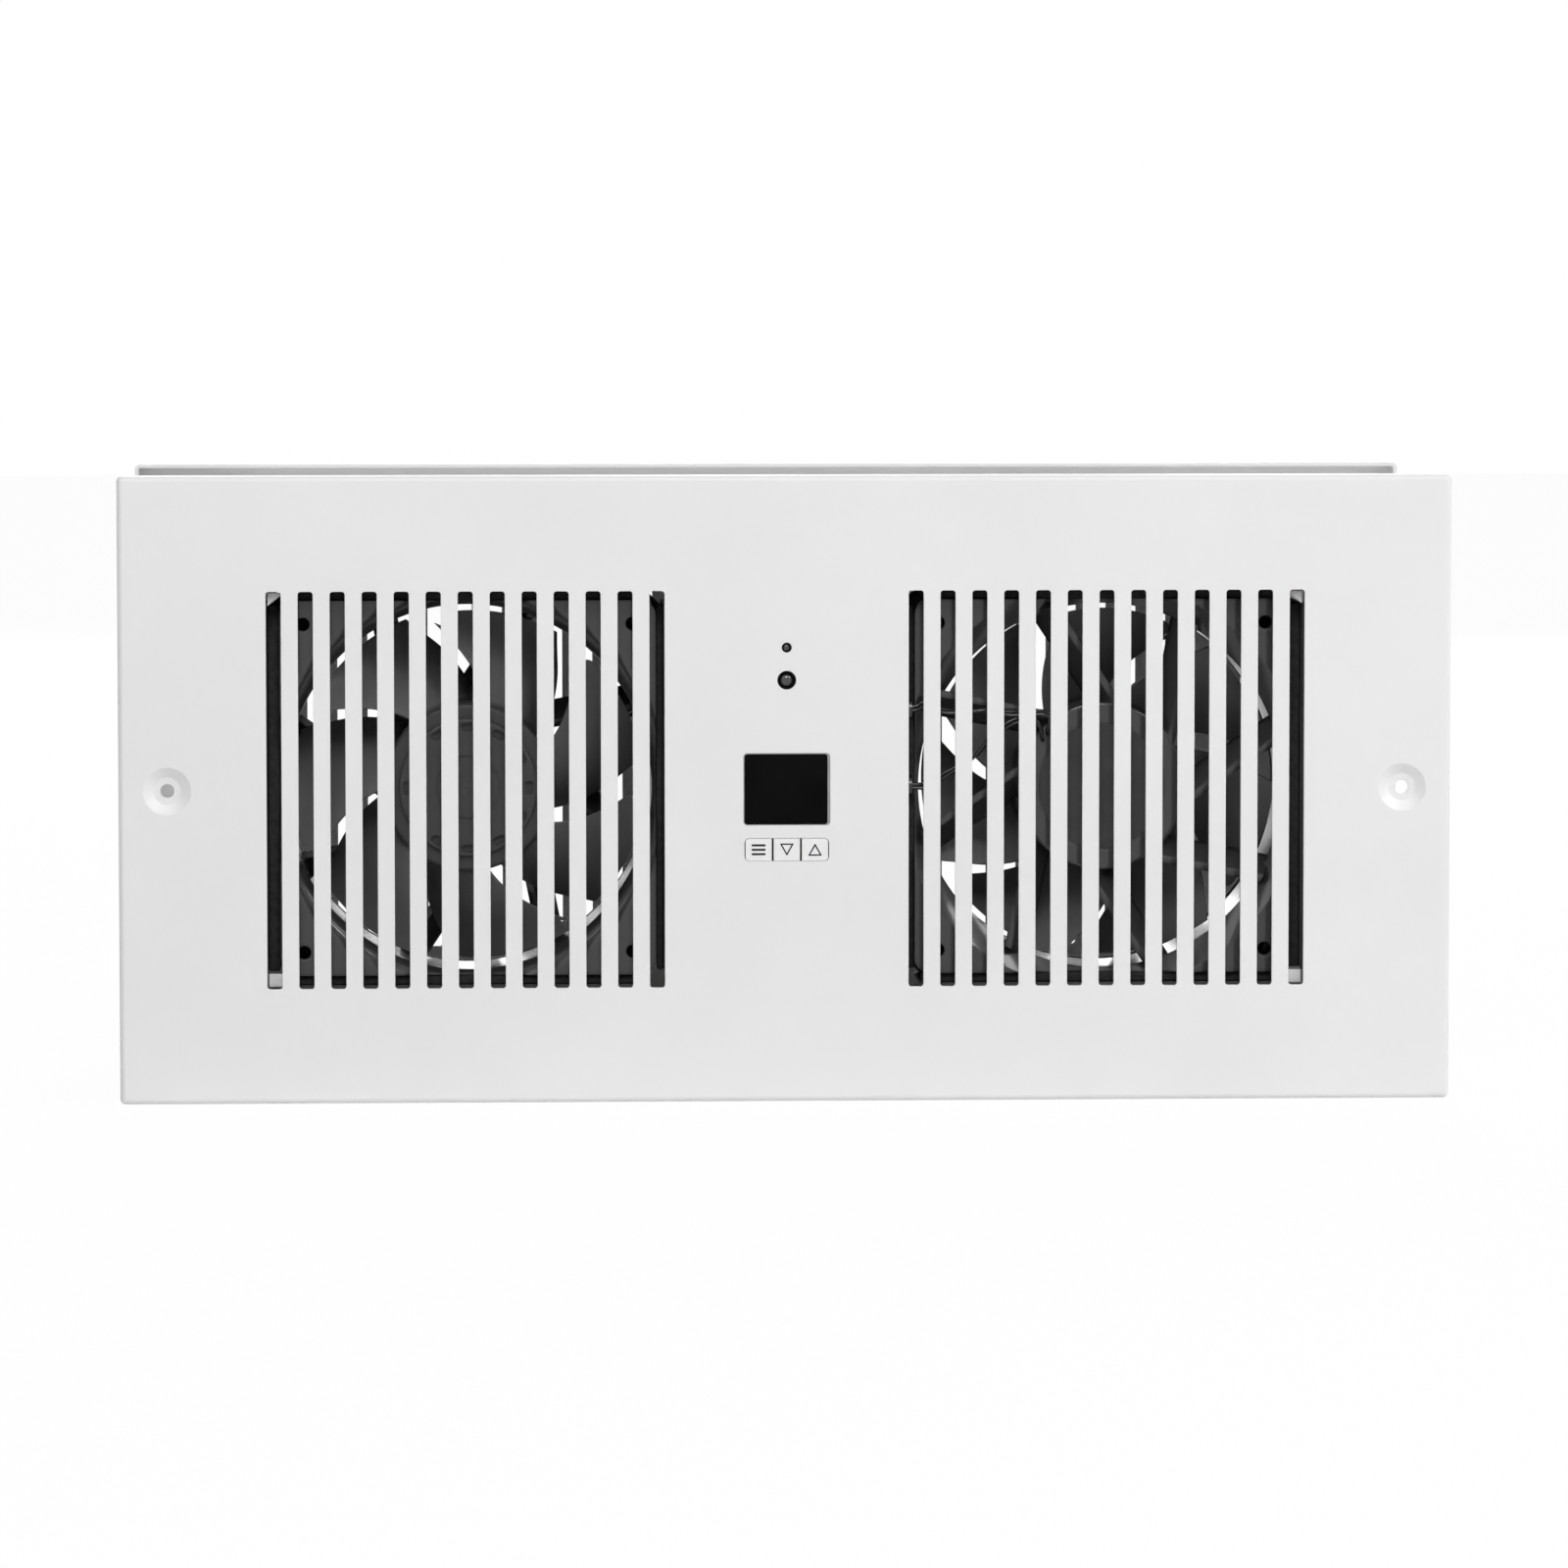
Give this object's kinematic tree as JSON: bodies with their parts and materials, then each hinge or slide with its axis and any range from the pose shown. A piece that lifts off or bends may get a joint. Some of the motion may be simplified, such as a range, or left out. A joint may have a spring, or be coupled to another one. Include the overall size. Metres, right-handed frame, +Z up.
{
  "type": "through-wall fan",
  "caption": "Through-wall fan: slotted white steel plates on both wall faces, a telescoping sleeve between them, axial fans in folded trays, and a display with keys.",
  "frame": {"origin": "middle of the sleeve: halfway along and up the plates, and halfway between their outer faces", "axes": "+X along the plates, to the right seen from the front; +Y through the wall, from the front plate with the display to the rear plate; +Z up"},
  "size_m": [0.425, 0.15, 0.2],
  "materials": {
    "white_paint": "fine satin powder coat",
    "black_paint": "matt powder coat",
    "black_plastic": "moulded, slight sheen",
    "zinc_steel": "zinc plated",
    "bright_steel": "ground",
    "ferrite": "matt sintered",
    "copper": "enamelled wire",
    "board_green": "solder resist",
    "display_black": "glossy pane",
    "dark_lens": "glossy dark lens",
    "key_white": "satin",
    "black_rubber": "smooth insulation"
  },
  "bodies": {
    "front_unit": {"front_plate": "white_paint", "front_sleeve": "white_paint", "front_studs": "zinc_steel", "tray_nuts": "zinc_steel", "front_sleeve_nuts": "zinc_steel", "housing_nuts": "zinc_steel", "left_fan_tray": "black_paint", "left_fan_screws": "zinc_steel", "left_fan_nuts": "zinc_steel", "left_fan_frame": "black_plastic", "left_bearings": "bright_steel", "left_stator_core": "zinc_steel", "left_windings": "copper", "left_motor_board": "board_green", "right_fan_tray": "black_paint", "right_fan_screws": "zinc_steel", "right_fan_nuts": "zinc_steel", "right_fan_frame": "black_plastic", "right_bearings": "bright_steel", "right_stator_core": "zinc_steel", "right_windings": "copper", "right_motor_board": "board_green", "key_switches": "black_plastic", "display_lens": "display_black", "display_module": "display_black", "infrared_receiver": "dark_lens", "light_sensor": "dark_lens", "controller_board": "board_green", "controller_housing": "black_plastic", "right_fan_lead": "black_rubber", "right_signal_lead": "black_rubber", "left_fan_lead": "black_rubber", "lead_grommet": "black_rubber", "power_inlet": "black_plastic", "inlet_lead": "black_rubber"},
    "rear_unit": {"rear_plate": "white_paint", "rear_sleeve": "white_paint", "rear_studs": "zinc_steel", "rear_sleeve_nuts": "zinc_steel"},
    "left_rotor": {"left_impeller": "black_plastic", "left_rotor_cup": "zinc_steel", "left_magnet": "ferrite", "left_shaft": "bright_steel"},
    "right_rotor": {"right_impeller": "black_plastic", "right_rotor_cup": "zinc_steel", "right_magnet": "ferrite", "right_shaft": "bright_steel"},
    "menu_button": {"menu_key": "key_white"},
    "down_button": {"down_key": "key_white"},
    "up_button": {"up_key": "key_white"}
  },
  "joints": [
    {"name": "left_impeller_spin", "type": "hinge", "parent": "front_unit", "child": "left_rotor", "pos_m": [-0.1014, -0.046, 0], "axis": [0, 1, 0], "continuous": true},
    {"name": "right_impeller_spin", "type": "hinge", "parent": "front_unit", "child": "right_rotor", "pos_m": [0.1014, -0.046, 0], "axis": [0, 1, 0], "continuous": true},
    {"name": "menu_key_press", "type": "slide", "parent": "front_unit", "child": "menu_button", "axis": [0, 1, 0], "range_m": [0, 0.0005], "stiffness_N_per_m": 400},
    {"name": "down_key_press", "type": "slide", "parent": "front_unit", "child": "down_button", "axis": [0, 1, 0], "range_m": [0, 0.0005], "stiffness_N_per_m": 400},
    {"name": "up_key_press", "type": "slide", "parent": "front_unit", "child": "up_button", "axis": [0, 1, 0], "range_m": [0, 0.0005], "stiffness_N_per_m": 400},
    {"name": "wall_depth_slide", "type": "slide", "parent": "front_unit", "child": "rear_unit", "axis": [0, 1, 0], "range_m": [-0.04, 0.025]}
  ]
}
